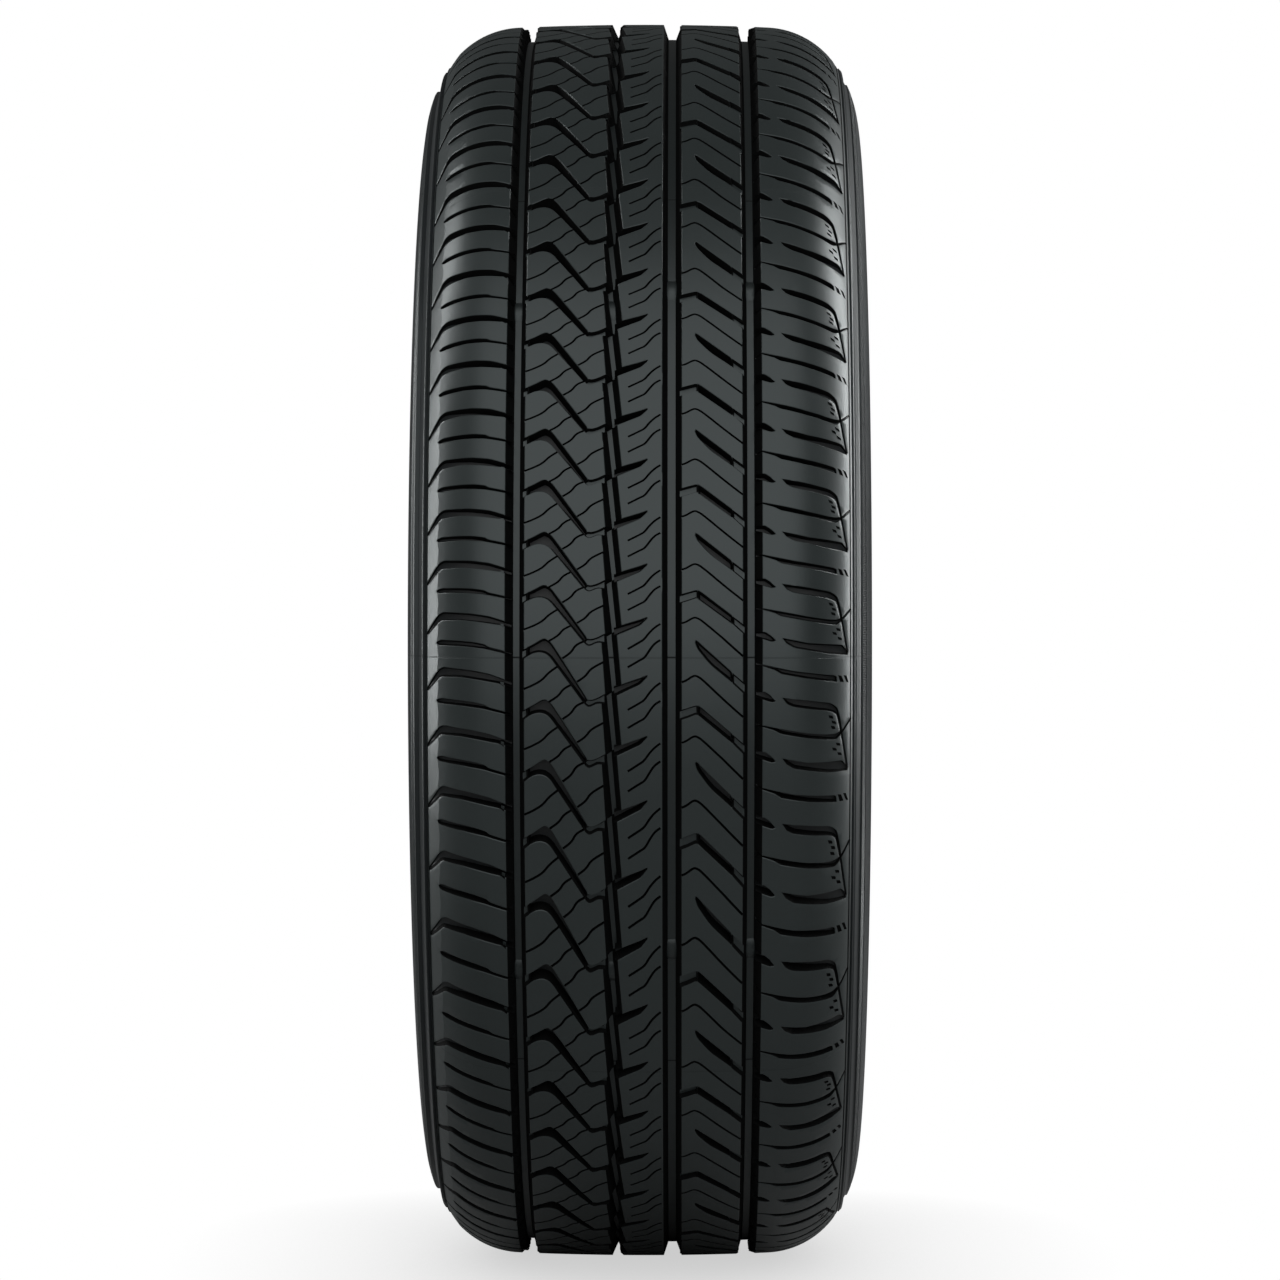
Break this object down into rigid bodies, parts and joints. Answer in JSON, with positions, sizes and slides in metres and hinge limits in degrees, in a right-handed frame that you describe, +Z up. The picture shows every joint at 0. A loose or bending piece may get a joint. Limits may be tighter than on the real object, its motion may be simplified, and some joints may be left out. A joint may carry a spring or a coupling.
{
  "type": "car tyre",
  "caption": "Radial passenger car tyre with an asymmetric grooved tread, rounded shoulders and beads that seat on a wheel rim.",
  "frame": {"origin": "the wheel's centre: on the axle line, midway between the two sidewalls", "axes": "+Y along the axle, towards the shoulder with the hooked slots; +Z up; +X forward"},
  "size_m": [0.6568, 0.226, 0.6568],
  "materials": {
    "rubber": "moulded black tread rubber, satin"
  },
  "bodies": {
    "root": {"tyre": "rubber"}
  },
  "joints": []
}
